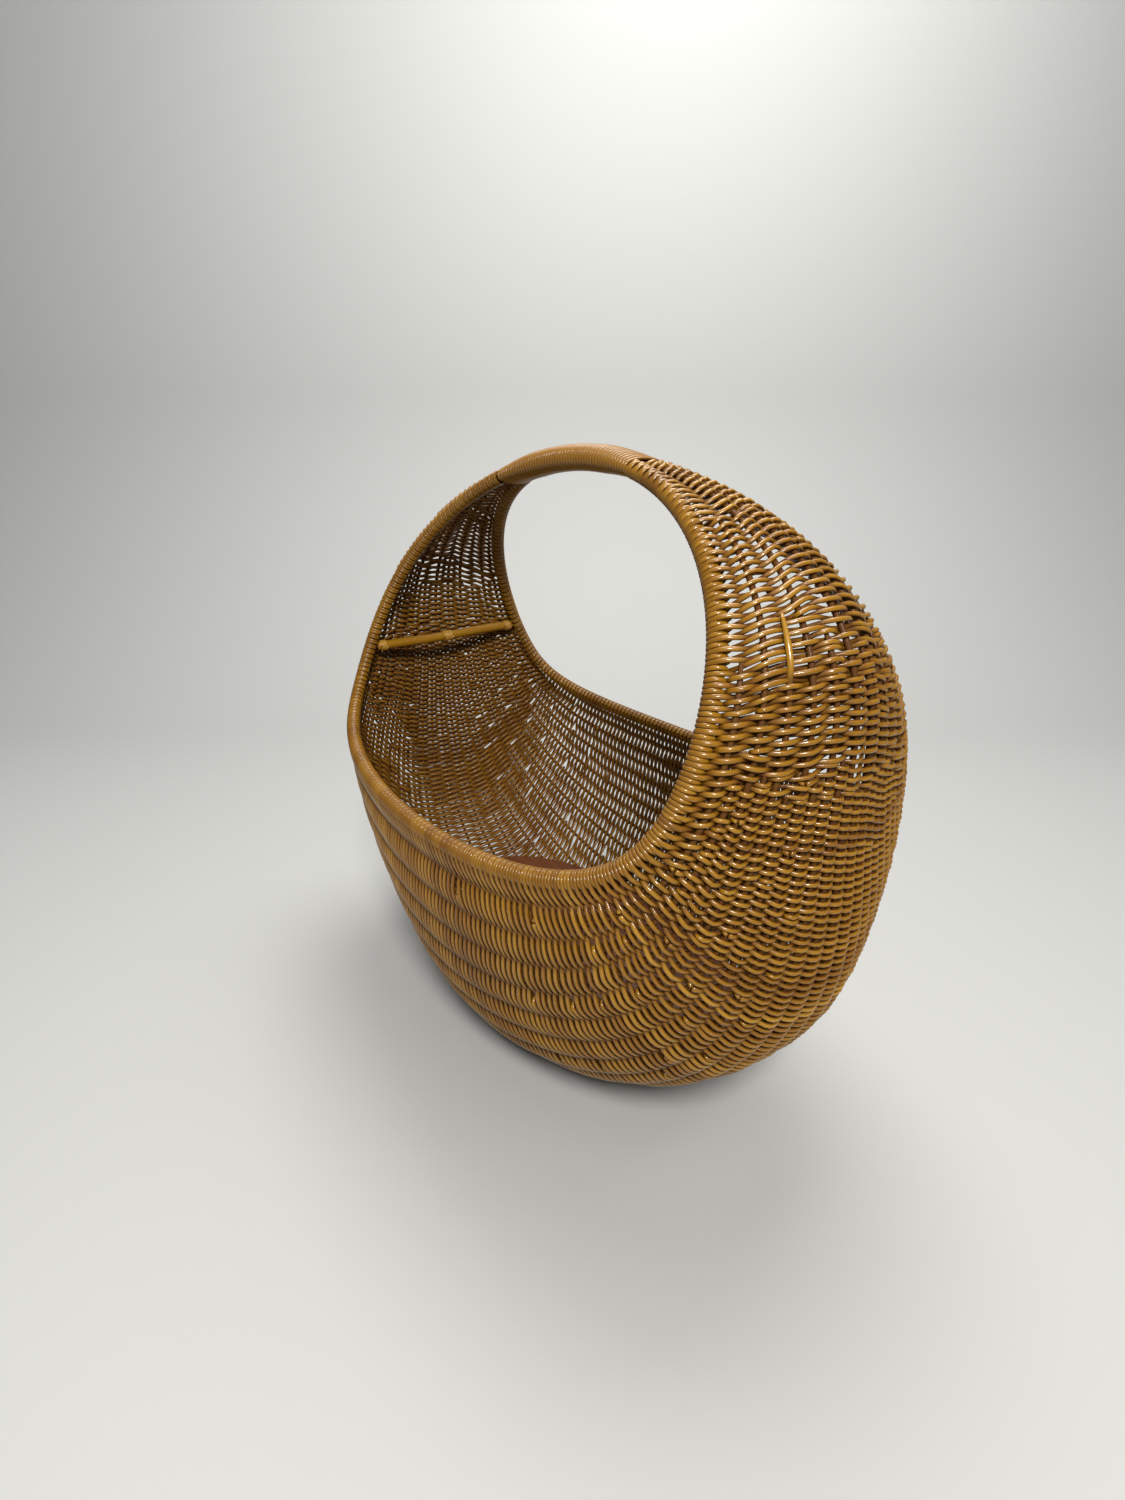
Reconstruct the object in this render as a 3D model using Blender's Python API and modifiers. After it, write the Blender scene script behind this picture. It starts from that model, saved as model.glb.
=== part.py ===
"""Large ribbed gondola basket: two rim hoops bound together as the handle, lengthwise ribs,
and rows of weaving that cross the ribs from one rim to the other.

Metres, +Z up. The origin is on the floor under the middle of the basket, +X points along the
basket to its right end, -Y to the front rim and +Y to the back rim.

An angle t names a place along the length: 0 at the top of the handle, 180 degrees under the
middle of the belly, positive round the right end. A share s names a place across it: 0 beside
the front rim, 0.5 on the keel rib, 1 beside the back rim.
"""
from math import cos, pi, radians, sin

import bmesh
import bpy
from mathutils import Vector

# Rim hoops: x from sines and z from cosines of t, 2t and 3t, y from how far they spread.
RIM_X = (0.426, 0.015, 0.027)
RIM_Z = (0.544, 0.204, 0.0445, 0.007)
RIM_SPREAD = (0.228, 0.019, 0.020)
RIM_HALF_GAP = 0.0093
RIM_RADIUS = 0.0107
RIM_STEPS = 72
GRIP_POLE_RADIUS = 0.0090

# Keel line, the longest rib: a squarish oval that shares its top with the rims. Its height comes
# from that top and KEEL_LOW, and KEEL_Z holds the terms in 2t and 3t.
KEEL_X = (0.521, 0.067)
KEEL_Z = (-0.030, 0.037)
KEEL_TURN = (-0.044, -0.166, 0.040)

# How a section bulges between the rims: (at the handle, under the belly, extra at the ends).
SIDE_POWER = (0.97, 0.49, 0.12)
DROP_POWER = (1.01, 1.11, 0.01)
SIDE_SWELL = (-0.13, -0.08, -0.41)

# Ribs, weaving and what ties them.
RIB_RADIUS = 0.0033
RIB_STEPS = 22
OUTER_EARLY_RIB = 8
OUTER_RIB_ROOM = 0.020
WEAVE_THICKNESS = 0.0052
GAP = 0.0003
EDGE_CLEARANCE = 0.0122
FLOOR_PRESS = 0.0025
KEEL_LOW = RIB_RADIUS + GAP + WEAVE_THICKNESS - FLOOR_PRESS
FLOOR_REACH = radians(4)
BANDS_PER_END = 8
STEPS_PER_BAND = 2
BAND_EDGE = 0.0005

# Handle wrapping.
GRIP_END = radians(15)
GRIP_HEIGHT = 0.0160
GRIP_WALL = 0.0040
WEAVE_START = radians(17)

# Cross bars, their bindings and the board in the bottom.
BAR_ANGLES = (radians(87), radians(82))  # on the front rim and on the back one
BAR_RADIUS = 0.0078
BAR_END_CLEARANCE = 0.0180
TIE_THICKNESS = 0.0016
TIE_LENGTH = 0.009
LASHING_LENGTH = 0.016
BOARD_TOP = 0.105
BOARD_THICKNESS = 0.008
BOARD_INSET = 0.0120

CANE = (0.47, 0.25, 0.075)
RIM_CANE = (0.50, 0.27, 0.105)
ROD = (0.38, 0.19, 0.055)
BAR_CANE = (0.46, 0.25, 0.05)
BOARD_WOOD = (0.22, 0.075, 0.02)


def clear_scene():
    for old in list(bpy.data.objects):
        bpy.data.objects.remove(old)


def material(name, colour, roughness):
    made = bpy.data.materials.new(name)
    made.use_nodes = True
    shader = made.node_tree.nodes["Principled BSDF"]
    shader.inputs["Base Color"].default_value = (*colour, 1)
    shader.inputs["Roughness"].default_value = roughness
    shader.inputs["Metallic"].default_value = 0
    return made


def add_object(name, data, colour, roughness=0.4):
    made = bpy.data.objects.new(name, data)
    data.materials.append(material(name, colour, roughness))
    parts.objects.link(made)
    return made


def signed_power(value, power):
    return abs(value) ** power * (1 if value >= 0 else -1)


def blended(terms, t):
    """A value that changes from the handle to the belly, with an extra at the two ends."""
    share = (1 - cos(t)) / 2
    return terms[0] + (terms[1] - terms[0]) * share + terms[2] * sin(t) ** 2


def rim_point(t):
    """A point on the back rim's centre line. The front rim has the opposite y."""
    x = sum(size * sin(n * t) for n, size in enumerate(RIM_X, 1))
    z = sum(size * cos(n * t) for n, size in enumerate(RIM_Z))
    spread = sum(size * (1 - cos(n * t)) / 2 for n, size in enumerate(RIM_SPREAD, 1))
    return Vector((x, RIM_HALF_GAP + spread, z))


def keel_point(t):
    turned = t + sum(size * sin(n * t) for n, size in enumerate(KEEL_TURN, 1))
    top = sum(RIM_Z)
    middle = (top + KEEL_LOW) / 2 - KEEL_Z[0]
    height = (top - KEEL_LOW) / 2 - KEEL_Z[1]
    x = KEEL_X[0] * sin(turned) + KEEL_X[1] * sin(3 * turned)
    z = middle + height * cos(turned) + KEEL_Z[0] * cos(2 * turned) + KEEL_Z[1] * cos(3 * turned)
    return Vector((x, 0, z))


def section_point(t, turn):
    """A point across the basket at t: turn is 0 at the front rim and pi at the back rim."""
    rim = rim_point(t)
    keel = keel_point(t)
    swell = 1 + blended(SIDE_SWELL, t) * sin(turn) ** 2
    side = -signed_power(cos(turn), blended(SIDE_POWER, t)) * swell
    drop = abs(sin(turn)) ** blended(DROP_POWER, t)
    return Vector((rim.x + (keel.x - rim.x) * drop, rim.y * side, rim.z + (keel.z - rim.z) * drop))


section_cache = {}
SECTION_SAMPLES = 128


def section_line(t):
    """Sampled points across the basket at t, each with its distance from the front rim."""
    key = round(t, 7)
    if key not in section_cache:
        points = [section_point(t, pi * n / SECTION_SAMPLES) for n in range(SECTION_SAMPLES + 1)]
        distances = [0.0]
        for before, after in zip(points, points[1:]):
            distances.append(distances[-1] + (after - before).length)
        section_cache[key] = (points, distances)
    return section_cache[key]


def woven_width(t):
    return section_line(t)[1][-1] - 2 * EDGE_CLEARANCE


def rib_surface(t, s):
    """The surface that holds the ribs' centre lines."""
    points, distances = section_line(t)
    wanted = EDGE_CLEARANCE + s * woven_width(t)
    for n in range(SECTION_SAMPLES):
        if distances[n + 1] >= wanted or n == SECTION_SAMPLES - 1:
            share = (wanted - distances[n]) / (distances[n + 1] - distances[n])
            return points[n].lerp(points[n + 1], share)
    return points[-1]


def outward(t, s):
    dt = 0.01
    ds = 0.02
    low = max(s - ds, 0)
    high = min(s + ds, 1)
    along = rib_surface(t + dt, s) - rib_surface(t - dt, s)
    across = rib_surface(t, high) - rib_surface(t, low)
    return along.cross(across).normalized()


def woven_surface(t, s, height):
    """A point that far outside the ribs' surface, no lower than the floor it is pressed on."""
    point = rib_surface(t, s) + outward(t, s) * height
    point.z = max(point.z, 0)
    return point


def length_stations():
    """Angles from the handle's right end to the belly, evenly spaced along the weaving, with
    one more near the end where the belly's flat resting place stops."""
    samples = 400
    angles = [WEAVE_START + (pi - WEAVE_START) * n / samples for n in range(samples + 1)]
    run = [0.0]
    for before, after in zip(angles, angles[1:]):
        rim_step = (rim_point(after) - rim_point(before)).length
        keel_step = (keel_point(after) - keel_point(before)).length
        run.append(run[-1] + (rim_step + keel_step) / 2)
    steps = BANDS_PER_END * STEPS_PER_BAND
    stations = []
    for step in range(steps + 1):
        wanted = run[-1] * step / steps
        nearest = min(range(samples + 1), key=lambda n: abs(run[n] - wanted))
        stations.append(angles[nearest])
    stations.insert(-1, pi - FLOOR_REACH)
    return stations


def add_tube(name, points, radius, colour, sides_level, closed=False, radii=None):
    """A round rod along points. radii holds the rod's radius at each, where it changes."""
    curve = bpy.data.curves.new(name, "CURVE")
    curve.dimensions = "3D"
    curve.bevel_depth = radius
    curve.bevel_resolution = sides_level
    curve.use_fill_caps = not closed
    line = curve.splines.new("POLY")
    line.points.add(len(points) - 1)
    line.use_cyclic_u = closed
    line.use_smooth = True
    for n, place in enumerate(points):
        line.points[n].co = (*place, 1)
        if radii:
            line.points[n].radius = radii[n] / radius
    return add_object(name, curve, colour)


def add_rim(name, side):
    """A rim hoop with its turns of cane, and the bare pole where the handle is bound over it."""
    points = []
    radii = []
    for n in range(RIM_STEPS):
        t = 2 * pi * n / RIM_STEPS
        place = rim_point(t)
        in_grip = min(t, 2 * pi - t) < GRIP_END + 0.001
        radii.append(GRIP_POLE_RADIUS if in_grip else RIM_RADIUS)
        points.append((place.x, side * place.y, place.z))
    return add_tube(name, points, RIM_RADIUS, RIM_CANE, 3, True, radii)


def add_grid_solid(name, rings, colour, roughness=0.4):
    """A closed solid from rings of equal length, each ring joined to the next, with flat ends."""
    mesh = bmesh.new()
    made = [[mesh.verts.new(place) for place in ring] for ring in rings]
    count = len(made[0])
    for before, after in zip(made, made[1:]):
        for n in range(count):
            mesh.faces.new((before[n], before[(n + 1) % count], after[(n + 1) % count], after[n]))
    for ring in (made[0], made[-1]):
        half = count // 2
        for n in range(half - 1):
            mesh.faces.new((ring[n], ring[n + 1], ring[count - 2 - n], ring[count - 1 - n]))
    bmesh.ops.recalc_face_normals(mesh, faces=mesh.faces)
    data = bpy.data.meshes.new(name)
    mesh.to_mesh(data)
    mesh.free()
    return add_object(name, data, colour, roughness)


def add_weave_band(name, angles):
    """Rows of weaving between two angles: a skin just outside the ribs, from rim to rim."""
    inner = RIB_RADIUS + GAP
    outer = inner + WEAVE_THICKNESS
    shares = [n / RIB_STEPS for n in range(RIB_STEPS + 1)]
    rings = []
    for t in angles:
        ring = [woven_surface(t, s, outer) for s in shares]
        ring += [woven_surface(t, s, inner) for s in reversed(shares)]
        rings.append(ring)
    return add_grid_solid(name, rings, CANE)


def add_grip_wrapping():
    """The cane lapping that binds both hoops into one handle: a sleeve round the pair."""
    sections = 7
    corners = 16
    rings_out = []
    rings_in = []
    for section in range(sections):
        t = -GRIP_END + 2 * GRIP_END * section / (sections - 1)
        middle = rim_point(t)
        along = rim_point(t + 0.01) - rim_point(t - 0.01)
        up = Vector((0, 1, 0)).cross(Vector((along.x, 0, along.z))).normalized()
        up *= 1 if up.z > 0 else -1
        centre = Vector((middle.x, 0, middle.z))
        hole = GRIP_POLE_RADIUS + 2 * GAP
        outside = []
        inside = []
        for corner in range(corners):
            turn = 2 * pi * (corner + 0.5) / corners
            shift = middle.y * (1 if cos(turn) > 0 else -1)
            hole_y = shift + hole * cos(turn) * 1.05
            hole_z = hole * sin(turn) * 1.05
            wall_y = (middle.y + hole + GRIP_WALL) * signed_power(cos(turn), 0.8)
            wall_z = GRIP_HEIGHT * signed_power(sin(turn), 0.9)
            inside.append(centre + Vector((0, hole_y, 0)) + up * hole_z)
            outside.append(centre + Vector((0, wall_y, 0)) + up * wall_z)
        rings_out.append(outside)
        rings_in.append(inside)
    mesh = bmesh.new()
    skins = [[[mesh.verts.new(p) for p in ring] for ring in rings] for rings in (rings_out, rings_in)]
    for skin in skins:
        for before, after in zip(skin, skin[1:]):
            for n in range(corners):
                m = (n + 1) % corners
                mesh.faces.new((before[n], before[m], after[m], after[n]))
    for end in (0, -1):
        for n in range(corners):
            m = (n + 1) % corners
            mesh.faces.new((skins[0][end][n], skins[0][end][m], skins[1][end][m], skins[1][end][n]))
    bmesh.ops.recalc_face_normals(mesh, faces=mesh.faces)
    data = bpy.data.meshes.new("handle_wrapping")
    mesh.to_mesh(data)
    mesh.free()
    return add_object("handle_wrapping", data, RIM_CANE)


def rib_start(index, stations):
    """The station where there is room for this rib beside the ones already there."""
    if index == 0:
        return 0
    level = next(step for step in (4, 2, 1) if index % step == 0)
    room = {4: 0.0095, 2: 0.0180, 1: 0.0143}[level]
    if abs(index) == OUTER_EARLY_RIB:
        room = OUTER_RIB_ROOM
    for number, t in enumerate(stations):
        if woven_width(t) * level / RIB_STEPS >= room:
            return number
    return len(stations) - 1


def rib_name(index):
    if index == 0:
        return "keel_rib"
    return "rib_{}_{:02d}".format("front" if index < 0 else "back", abs(index))


def add_rib(index, stations):
    s = 0.5 + index / RIB_STEPS
    right = stations[rib_start(index, stations):]
    angles = right + [2 * pi - t for t in reversed(right[:-1])]
    points = [rib_surface(t, s) for t in angles]
    return add_tube(rib_name(index), points, RIB_RADIUS, ROD, 1)


def add_cylinder(name, radius, length, place, turn, colour, corners=12):
    mesh = bmesh.new()
    bmesh.ops.create_cone(mesh, cap_ends=True, segments=corners, radius1=radius, radius2=radius, depth=length)
    data = bpy.data.meshes.new(name)
    mesh.to_mesh(data)
    mesh.free()
    made = add_object(name, data, colour, 0.3)
    made.location = place
    made.rotation_euler = turn
    return made


def add_binding(name, inside, length, place, turn):
    """A short sleeve of cane turns round a bar."""
    outside = inside + TIE_THICKNESS
    profile = [(inside, length / 2), (outside, length / 2), (outside, -length / 2), (inside, -length / 2)]
    data = bpy.data.meshes.new(name)
    edges = [(n, (n + 1) % 4) for n in range(4)]
    data.from_pydata([(radius, 0, height) for radius, height in profile], edges, [])
    made = add_object(name, data, CANE)
    made.location = place
    made.rotation_euler = turn
    turned = made.modifiers.new("turned", "SCREW")
    turned.axis = "Z"
    turned.steps = 12
    turned.render_steps = 12
    turned.use_merge_vertices = True
    turned.merge_threshold = 0.0001
    return made


def add_cross_bar(end, side):
    """A straight cane bar between the rims inside one end, with its bindings."""
    front = rim_point(side * BAR_ANGLES[0]) * Vector((1, -1, 1))
    back = rim_point(side * BAR_ANGLES[1])
    ahead = (back - front).normalized()
    turn = ahead.to_track_quat("Z", "Y").to_euler()
    middle = (front + back) / 2
    half = (back - front).length / 2 - BAR_END_CLEARANCE
    add_cylinder("cross_bar_" + end, BAR_RADIUS, 2 * half, middle, turn, BAR_CANE)
    sleeve = BAR_RADIUS + GAP
    add_binding("cross_bar_lashing_" + end, sleeve, LASHING_LENGTH, middle, turn)
    for face, way in (("front", -1), ("back", 1)):
        tied = middle + ahead * way * (half - TIE_LENGTH)
        add_binding("cross_bar_tie_{}_{}".format(end, face), sleeve, TIE_LENGTH, tied, turn)


def tub_half_width(t, height):
    """Where the section at t passes this height, as a turn from the front rim to the keel."""
    low = 0.0
    high = pi / 2
    for _ in range(40):
        middle = (low + high) / 2
        if section_point(t, middle).z > height:
            low = middle
        else:
            high = middle
    return section_point(t, low)


def add_board():
    """The flat oval board that lies in the bottom, cut to the ribs' outline at its underside."""
    under = BOARD_TOP - BOARD_THICKNESS
    reach = pi / 2
    while keel_point(reach).z > under:
        reach += 0.002
    half = 14
    front = []
    for n in range(half + 1):
        t = pi - (pi - reach - 0.001) * cos(pi * n / half)
        edge = tub_half_width(t, under)
        flat = Vector((edge.x, edge.y, 0))
        front.append(flat - flat.normalized() * BOARD_INSET)
    outline = front + [Vector((p.x, -p.y, 0)) for p in reversed(front[1:-1])]
    mesh = bmesh.new()
    ring = [mesh.verts.new((p.x, p.y, under)) for p in outline]
    face = mesh.faces.new(ring)
    lifted = bmesh.ops.extrude_face_region(mesh, geom=[face])
    tops = [item for item in lifted["geom"] if isinstance(item, bmesh.types.BMVert)]
    bmesh.ops.translate(mesh, verts=tops, vec=(0, 0, BOARD_THICKNESS))
    bmesh.ops.recalc_face_normals(mesh, faces=mesh.faces)
    data = bpy.data.meshes.new("base_board")
    mesh.to_mesh(data)
    mesh.free()
    return add_object("base_board", data, BOARD_WOOD, 0.45)


clear_scene()
parts = bpy.data.collections.new("gondola_basket")
bpy.context.scene.collection.children.link(parts)

stations = length_stations()

add_rim("front_rim_hoop", -1)
add_rim("back_rim_hoop", 1)
add_grip_wrapping()

for index in range(-10, 11):
    add_rib(index, stations)

for band in range(BANDS_PER_END):
    first = band * STEPS_PER_BAND
    is_last = band == BANDS_PER_END - 1
    angles = stations[first:] if is_last else stations[first:first + STEPS_PER_BAND + 1]
    angles[0] += BAND_EDGE
    angles[-1] -= BAND_EDGE
    add_weave_band("weave_right_{:02d}".format(band + 1), angles)
    add_weave_band("weave_left_{:02d}".format(band + 1), [2 * pi - t for t in angles])

add_cross_bar("right", 1)
add_cross_bar("left", -1)
add_board()
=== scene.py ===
from math import cos, pi, radians, sin, tau

import bmesh
import bpy
import numpy as np
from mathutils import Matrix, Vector


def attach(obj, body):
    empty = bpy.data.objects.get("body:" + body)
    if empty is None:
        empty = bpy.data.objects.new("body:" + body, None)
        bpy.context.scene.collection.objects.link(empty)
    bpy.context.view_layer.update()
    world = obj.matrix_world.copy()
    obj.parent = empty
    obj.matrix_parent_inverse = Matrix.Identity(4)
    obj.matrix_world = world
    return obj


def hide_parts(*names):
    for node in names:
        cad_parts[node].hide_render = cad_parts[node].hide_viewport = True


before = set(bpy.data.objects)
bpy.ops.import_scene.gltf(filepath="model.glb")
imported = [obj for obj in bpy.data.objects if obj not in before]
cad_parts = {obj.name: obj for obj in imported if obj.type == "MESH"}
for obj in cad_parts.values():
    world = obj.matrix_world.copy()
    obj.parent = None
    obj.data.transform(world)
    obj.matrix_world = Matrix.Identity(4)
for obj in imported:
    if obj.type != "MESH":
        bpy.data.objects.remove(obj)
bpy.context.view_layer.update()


# ---- The two rim hoops -------------------------------------------------------------------------
# Two round poles of thick cane, each steamed into a pear-shaped hoop. They lie side by side at the
# top, where they are the handle, and lean apart below, where they edge the basket's two mouths.

RIM_X = (0.426, 0.015, 0.027)
RIM_Z = (0.544, 0.204, 0.0445, 0.007)
RIM_SPREAD = (0.228, 0.019, 0.020)
RIM_HALF_GAP = 0.0093
POLE_RADIUS = 0.0068
GRIP_POLE_RADIUS = 0.0086
GRIP_POLE_DEPTH = 1.45
POLE_STEPS = 240


def row_of(*values):
    """Numbers or arrays laid side by side as points."""
    return np.stack(np.broadcast_arrays(*values), axis=-1).astype(float)


def rim_line(t, face):
    """Points on a rim's centre line. face is -1 for the front rim and 1 for the back one."""
    t = np.asarray(t, float)
    x = sum(size * np.sin(n * t) for n, size in enumerate(RIM_X, 1))
    z = sum(size * np.cos(n * t) for n, size in enumerate(RIM_Z))
    spread = sum(size * (1 - np.cos(n * t)) / 2 for n, size in enumerate(RIM_SPREAD, 1))
    return row_of(x, face * (RIM_HALF_GAP + spread), z)


def unit(vectors):
    return vectors / np.maximum(np.linalg.norm(vectors, axis=-1, keepdims=True), 1e-12)


def distances(points):
    steps = np.linalg.norm(np.diff(points, axis=0), axis=1)
    return np.concatenate([[0.0], np.cumsum(steps)])


class Bundle:
    """Rods of cane swept along lines, gathered into one mesh with what the cane's finish reads:
    tone, one number for each length of cane, along and round, the place on it, and shade, the
    share of painted shade at each point."""

    def __init__(self, sides):
        self.sides = sides
        self.turns = np.arange(sides) * tau / sides
        self.spots = []
        self.faces = []
        self.caps = []
        self.marks = {"tone": [], "along": [], "round": [], "shade": []}
        self.count = 0

    def add(self, points, facing, thick, wide, tone, shade=None, closed=False, start=0.0):
        """One rod. facing is where its thickness points, thick and wide are half sizes, and shade
        is a function of the ring's points' height along facing that gives their painted shade, or None."""
        points = np.asarray(points, float)
        count = len(points)
        thick = np.broadcast_to(thick, count).astype(float).copy()
        wide = np.broadcast_to(wide, count).astype(float).copy()
        if closed:
            ahead = unit(np.roll(points, -1, 0) - np.roll(points, 1, 0))
        else:
            ahead = unit(np.gradient(points, axis=0))
        facing = unit(facing - ahead * np.sum(facing * ahead, axis=1, keepdims=True))
        beside = np.cross(ahead, facing)
        lift = np.cos(self.turns)[None, :, None] * thick[:, None, None] * facing[:, None, :]
        reach = np.sin(self.turns)[None, :, None] * wide[:, None, None] * beside[:, None, :]
        rings = points[:, None, :] + lift + reach
        run = distances(points) + start
        height = np.cos(self.turns)[None, :] * thick[:, None]
        shaded = np.zeros((count, self.sides)) if shade is None else shade(height)
        n = np.arange(self.sides)
        after = (n + 1) % self.sides
        links = count if closed else count - 1
        first = self.count + np.arange(links)[:, None] * self.sides
        second = self.count + ((np.arange(links) + 1) % count)[:, None] * self.sides
        quads = np.stack([first + n, first + after, second + after, second + n], axis=-1)
        self.spots.append(rings.reshape(-1, 3))
        self.faces.append(quads.reshape(-1, 4))
        if not closed:
            self.caps.append(self.count + n[::-1])
            self.caps.append(self.count + (count - 1) * self.sides + n)
        self.marks["tone"].append(np.full(count * self.sides, float(tone)))
        self.marks["along"].append(np.repeat(run, self.sides))
        self.marks["round"].append(np.tile(self.turns / tau, count))
        self.marks["shade"].append(shaded.reshape(-1))
        self.count += count * self.sides

    def piece(self, name, finish):
        mesh = bpy.data.meshes.new(name)
        spots = np.concatenate(self.spots)
        quads = np.concatenate(self.faces)
        caps = np.array(self.caps).reshape(-1, self.sides)
        corners = np.concatenate([quads.reshape(-1), caps.reshape(-1)])
        sizes = np.concatenate([np.full(len(quads), 4), np.full(len(caps), self.sides)])
        starts = np.concatenate([[0], np.cumsum(sizes)[:-1]])
        mesh.vertices.add(len(spots))
        mesh.vertices.foreach_set("co", spots.astype(np.float32).reshape(-1))
        mesh.loops.add(len(corners))
        mesh.loops.foreach_set("vertex_index", corners.astype(np.int32))
        mesh.polygons.add(len(sizes))
        mesh.polygons.foreach_set("loop_start", starts.astype(np.int32))
        mesh.polygons.foreach_set("loop_total", sizes.astype(np.int32))
        mesh.update(calc_edges=True)
        mesh.polygons.foreach_set("use_smooth", np.ones(len(sizes), bool))
        for mark, values in self.marks.items():
            kept = mesh.attributes.new(mark, "FLOAT", "POINT")
            kept.data.foreach_set("value", np.concatenate(values).astype(np.float32))
        mesh.materials.append(finish)
        made = bpy.data.objects.new(name, mesh)
        bpy.context.scene.collection.objects.link(made)
        return made


class Wire:
    """A socket of a finish's nodes. Arithmetic on it adds Math nodes."""

    def __init__(self, socket):
        self.socket = socket
        self.tree = socket.id_data

    def node(self, kind, settings=None, sockets=None, out=0):
        """Any node: its settings are set first, then the values or links of its sockets."""
        made = self.tree.nodes.new(kind)
        for key, value in (settings or {}).items():
            if key == "stops":
                while len(made.color_ramp.elements) < len(value):
                    made.color_ramp.elements.new(0.5)
                for stop, (place, colour) in zip(made.color_ramp.elements, value):
                    stop.position = place
                    stop.color = (*colour, 1)
            else:
                setattr(made, key, value)
        for key, value in (sockets or {}).items():
            if isinstance(value, Wire):
                self.tree.links.new(value.socket, made.inputs[key])
            else:
                made.inputs[key].default_value = value
        return Wire(made.outputs[out])

    def math(self, operation, *values):
        return self.node("ShaderNodeMath", {"operation": operation}, dict(enumerate(values)))

    def __add__(self, other):
        return self.math("ADD", self, other)

    def __radd__(self, other):
        return self.math("ADD", other, self)

    def __sub__(self, other):
        return self.math("SUBTRACT", self, other)

    def __rsub__(self, other):
        return self.math("SUBTRACT", other, self)

    def __mul__(self, other):
        return self.math("MULTIPLY", self, other)

    def __rmul__(self, other):
        return self.math("MULTIPLY", other, self)

    def mix(self, first, second):
        """This much of the second colour over the first."""
        sockets = {"Factor": self, 6: first, 7: second}
        return self.node("ShaderNodeMix", {"data_type": "RGBA"}, sockets, 2)


def new_finish(name):
    """An empty material: (the material, its shader, a wire to start from)."""
    made = bpy.data.materials.new(name)
    made.use_nodes = True
    shader = made.node_tree.nodes["Principled BSDF"]
    return made, shader, Wire(shader.outputs[0])


def into(shader, name, value):
    """Feeds a value or a wire into one of the shader's own sockets."""
    if isinstance(value, Wire):
        value.tree.links.new(value.socket, shader.inputs[name])
    else:
        shader.inputs[name].default_value = value


def cane_finish(name, dark, middle, light, deep, gloss=0.26, coat=0.55):
    """Varnished cane: each length has its own tone, with long fibres and blotches where the varnish
    is thicker, and painted shade, the deep colour, mixed in as far as the shade attribute says."""
    made, shader, any_wire = new_finish(name)

    def mark(key):
        return any_wire.node("ShaderNodeAttribute", {"attribute_name": key}, {}, 2)

    tone = mark("tone")
    along = mark("along")
    turn = mark("round")
    shade = mark("shade")
    spin = turn * tau

    def wrapped(stretch, apart, size):
        """Places for a pattern that runs round the cane without a seam and differs by length."""
        across = {"Y": spin.math("SINE", spin) * size, "Z": spin.math("COSINE", spin) * size}
        return any_wire.node("ShaderNodeCombineXYZ", {}, {"X": along * stretch + tone * apart, **across})

    blotches = {"Vector": wrapped(9.0, 77.0, 1.6), "Scale": 2.2, "Detail": 3.0}
    blotch = any_wire.node("ShaderNodeTexNoise", {}, blotches)
    fibres = {"Vector": wrapped(16.0, 31.0, 5.0), "Scale": 2.6, "Detail": 4.0, "Roughness": 0.6}
    fibre = any_wire.node("ShaderNodeTexNoise", {}, fibres)
    level = tone * 0.72 + blotch * 0.42 + fibre * 0.20 - 0.17
    stops = [(0.0, dark), (0.5, middle), (1.0, light)]
    colour = any_wire.node("ShaderNodeValToRGB", {"stops": stops}, {"Fac": level})
    # Painted shade: the deep colour mixed in as far as the shade attribute says, patchy with the blotches.
    sunk = shade * (0.75 + blotch * 0.5)
    colour = sunk.math("MINIMUM", sunk, 1.0).mix(colour, (*deep, 1))
    into(shader, "Base Color", colour)
    into(shader, "Roughness", gloss + fibre * 0.12 + shade * 0.4)
    into(shader, "Coat Weight", coat * (1.0 - shade))
    into(shader, "Specular IOR Level", 0.22)
    into(shader, "Coat Roughness", 0.11)
    bump = any_wire.node("ShaderNodeBump", {}, {"Strength": 0.25, "Distance": 0.0004, "Height": fibre})
    into(shader, "Normal", bump)
    return made


pole_finish = cane_finish(
    "rim pole cane",
    dark=(0.06, 0.02, 0.002),
    middle=(0.11, 0.04, 0.005),
    light=(0.18, 0.08, 0.012),
    deep=(0.03, 0.01, 0.001),
)

for face, word in ((-1, "front"), (1, "back")):
    pole = Bundle(12)
    steps = np.arange(POLE_STEPS) * tau / POLE_STEPS
    line = rim_line(steps, face)
    from_top = np.minimum(steps, tau - steps)
    deep = np.interp(from_top, (radians(8), radians(15)), (GRIP_POLE_RADIUS * GRIP_POLE_DEPTH, POLE_RADIUS))
    wide = np.interp(from_top, (radians(13), radians(17)), (GRIP_POLE_RADIUS, POLE_RADIUS))
    pole.add(line, np.tile((0.0, 1.0, 0.0), (len(line), 1)), wide, deep, 0.5, closed=True)
    hoop = pole.piece("rim_pole_" + word, pole_finish)
    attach(hoop, "root")
    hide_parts(word + "_rim_hoop")


# ---- The ribs ----------------------------------------------------------------------------------
# Thinner rods that run from one end of the basket to the other under its belly and give it its
# shape. The keel rib comes first, and others are pushed in beside it wherever the gap grows wide.

KEEL_X = (0.521, 0.067)
KEEL_Z = (-0.030, 0.037)
KEEL_TURN = (-0.044, -0.166, 0.040)
KEEL_LOW = 0.0063
SIDE_POWER = (0.97, 0.49, 0.12)
DROP_POWER = (1.01, 1.11, 0.01)
SIDE_SWELL = (-0.13, -0.08, -0.41)
EDGE_CLEARANCE = 0.0122
RIB_SHARES = 22
RIB_RADIUS = 0.0030
WEAVE_START = radians(17)
SKIN_SAMPLES = 257


def blended(terms, t):
    """A value that changes from the handle to the belly, with an extra at the two ends."""
    return terms[0] + (terms[1] - terms[0]) * (1 - np.cos(t)) / 2 + terms[2] * np.sin(t) ** 2


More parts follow.
